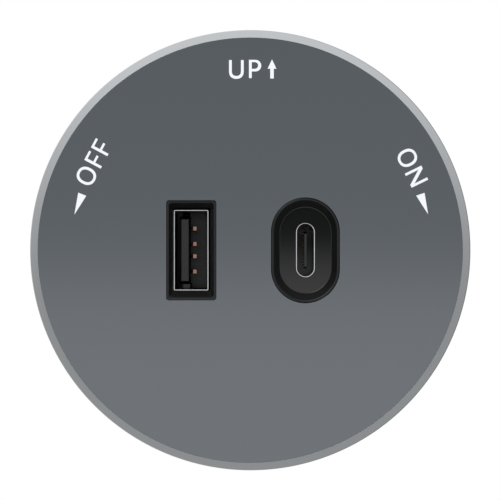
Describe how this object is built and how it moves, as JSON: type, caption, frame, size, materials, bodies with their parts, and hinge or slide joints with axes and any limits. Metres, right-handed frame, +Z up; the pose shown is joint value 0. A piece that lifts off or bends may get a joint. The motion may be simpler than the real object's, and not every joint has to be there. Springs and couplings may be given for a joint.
{
  "type": "power track usb socket",
  "caption": "Round USB charging socket that locks into a wall power track with a quarter turn.",
  "frame": {"origin": "on the turning axis, in the seat plane that lies on the track", "axes": "+Z up as the UP mark shows, +Y back into the track, +X right as seen from the front"},
  "size_m": [0.071, 0.05, 0.071],
  "materials": {
    "gunmetal_anodised": "satin dark grey anodised aluminium",
    "silver_anodised": "satin silver grey anodised aluminium",
    "black_polycarbonate": "fine texture, matte",
    "satin_black_plastic": "satin moulded black",
    "port_plastic": "matte black glass-filled",
    "nickel_steel": "nickel-plated, bright",
    "zinc_steel": "zinc-plated screws",
    "stainless_steel": "satin stainless",
    "spring_steel": "spring steel",
    "brass": "turned brass, bright",
    "phosphor_bronze": "rose phosphor bronze",
    "gold_plate": "gold-flashed",
    "copper_wire": "enamelled copper",
    "black_rubber": "matte rubber",
    "white_nylon": "natural acetal, matte",
    "board_green": "glass-epoxy board",
    "ferrite": "sintered ferrite",
    "capacitor_sleeve": "dark blue heat-shrunk sleeve",
    "yellow_film": "yellow moulded case",
    "blue_ceramic": "blue epoxy coat",
    "chip_black": "epoxy package",
    "brown_wire": "brown insulation",
    "blue_wire": "blue insulation",
    "green_wire": "green insulation"
  },
  "bodies": {
    "track_base": {"base_disc": "black_polycarbonate", "seat_gasket": "black_rubber"},
    "adapter": {"face_plate": "gunmetal_anodised", "trim_ring": "silver_anodised", "front_housing": "black_polycarbonate", "rear_housing": "black_polycarbonate", "housing_screws": "zinc_steel", "usb_a_bezel": "satin_black_plastic", "usb_a_shell": "nickel_steel", "usb_a_insulator": "port_plastic", "usb_a_contacts": "phosphor_bronze", "usb_c_bezel": "satin_black_plastic", "usb_c_shell": "nickel_steel", "usb_c_insulator": "port_plastic", "usb_c_contacts": "gold_plate", "slip_washer": "white_nylon", "clamp_ring": "stainless_steel", "clamp_screws": "zinc_steel", "detent_spring": "spring_steel", "stem": "black_polycarbonate", "stem_nut": "brass", "stem_cap": "black_polycarbonate", "stem_cap_screws": "zinc_steel", "earth_contact": "phosphor_bronze", "live_strip": "brass", "neutral_strip": "brass", "live_spring": "spring_steel", "neutral_spring": "spring_steel", "live_wire": "brown_wire", "neutral_wire": "blue_wire", "earth_wire": "green_wire", "main_board": "board_green", "board_screws": "zinc_steel", "transformer_core": "ferrite", "transformer_bobbin": "black_polycarbonate", "transformer_winding": "copper_wire", "mains_capacitors": "capacitor_sleeve", "output_capacitor": "capacitor_sleeve", "filter_choke_core": "ferrite", "filter_choke_winding": "copper_wire", "x_capacitor": "yellow_film", "y_capacitor": "blue_ceramic", "input_fuse": "chip_black", "bridge_rectifier": "chip_black", "controller_chips": "chip_black", "small_chips": "chip_black"},
    "live_plunger": {"live_contact": "brass"},
    "neutral_plunger": {"neutral_contact": "brass"}
  },
  "joints": [
    {"name": "quarter_turn", "type": "hinge", "parent": "track_base", "child": "adapter", "pos_m": [0, 0, 0], "axis": [0, 1, 0], "range_deg": [0, 90], "deforming": ["detent_spring"]},
    {"name": "live_contact_press", "type": "slide", "parent": "adapter", "child": "live_plunger", "axis": [-1, 0, 0], "range_m": [0, 0.0012], "stiffness_N_per_m": 1000, "springref_m": -0.0015, "deforming": ["live_spring"]},
    {"name": "neutral_contact_press", "type": "slide", "parent": "adapter", "child": "neutral_plunger", "axis": [1, 0, 0], "range_m": [0, 0.0012], "stiffness_N_per_m": 1000, "springref_m": -0.0015, "deforming": ["neutral_spring"]}
  ]
}
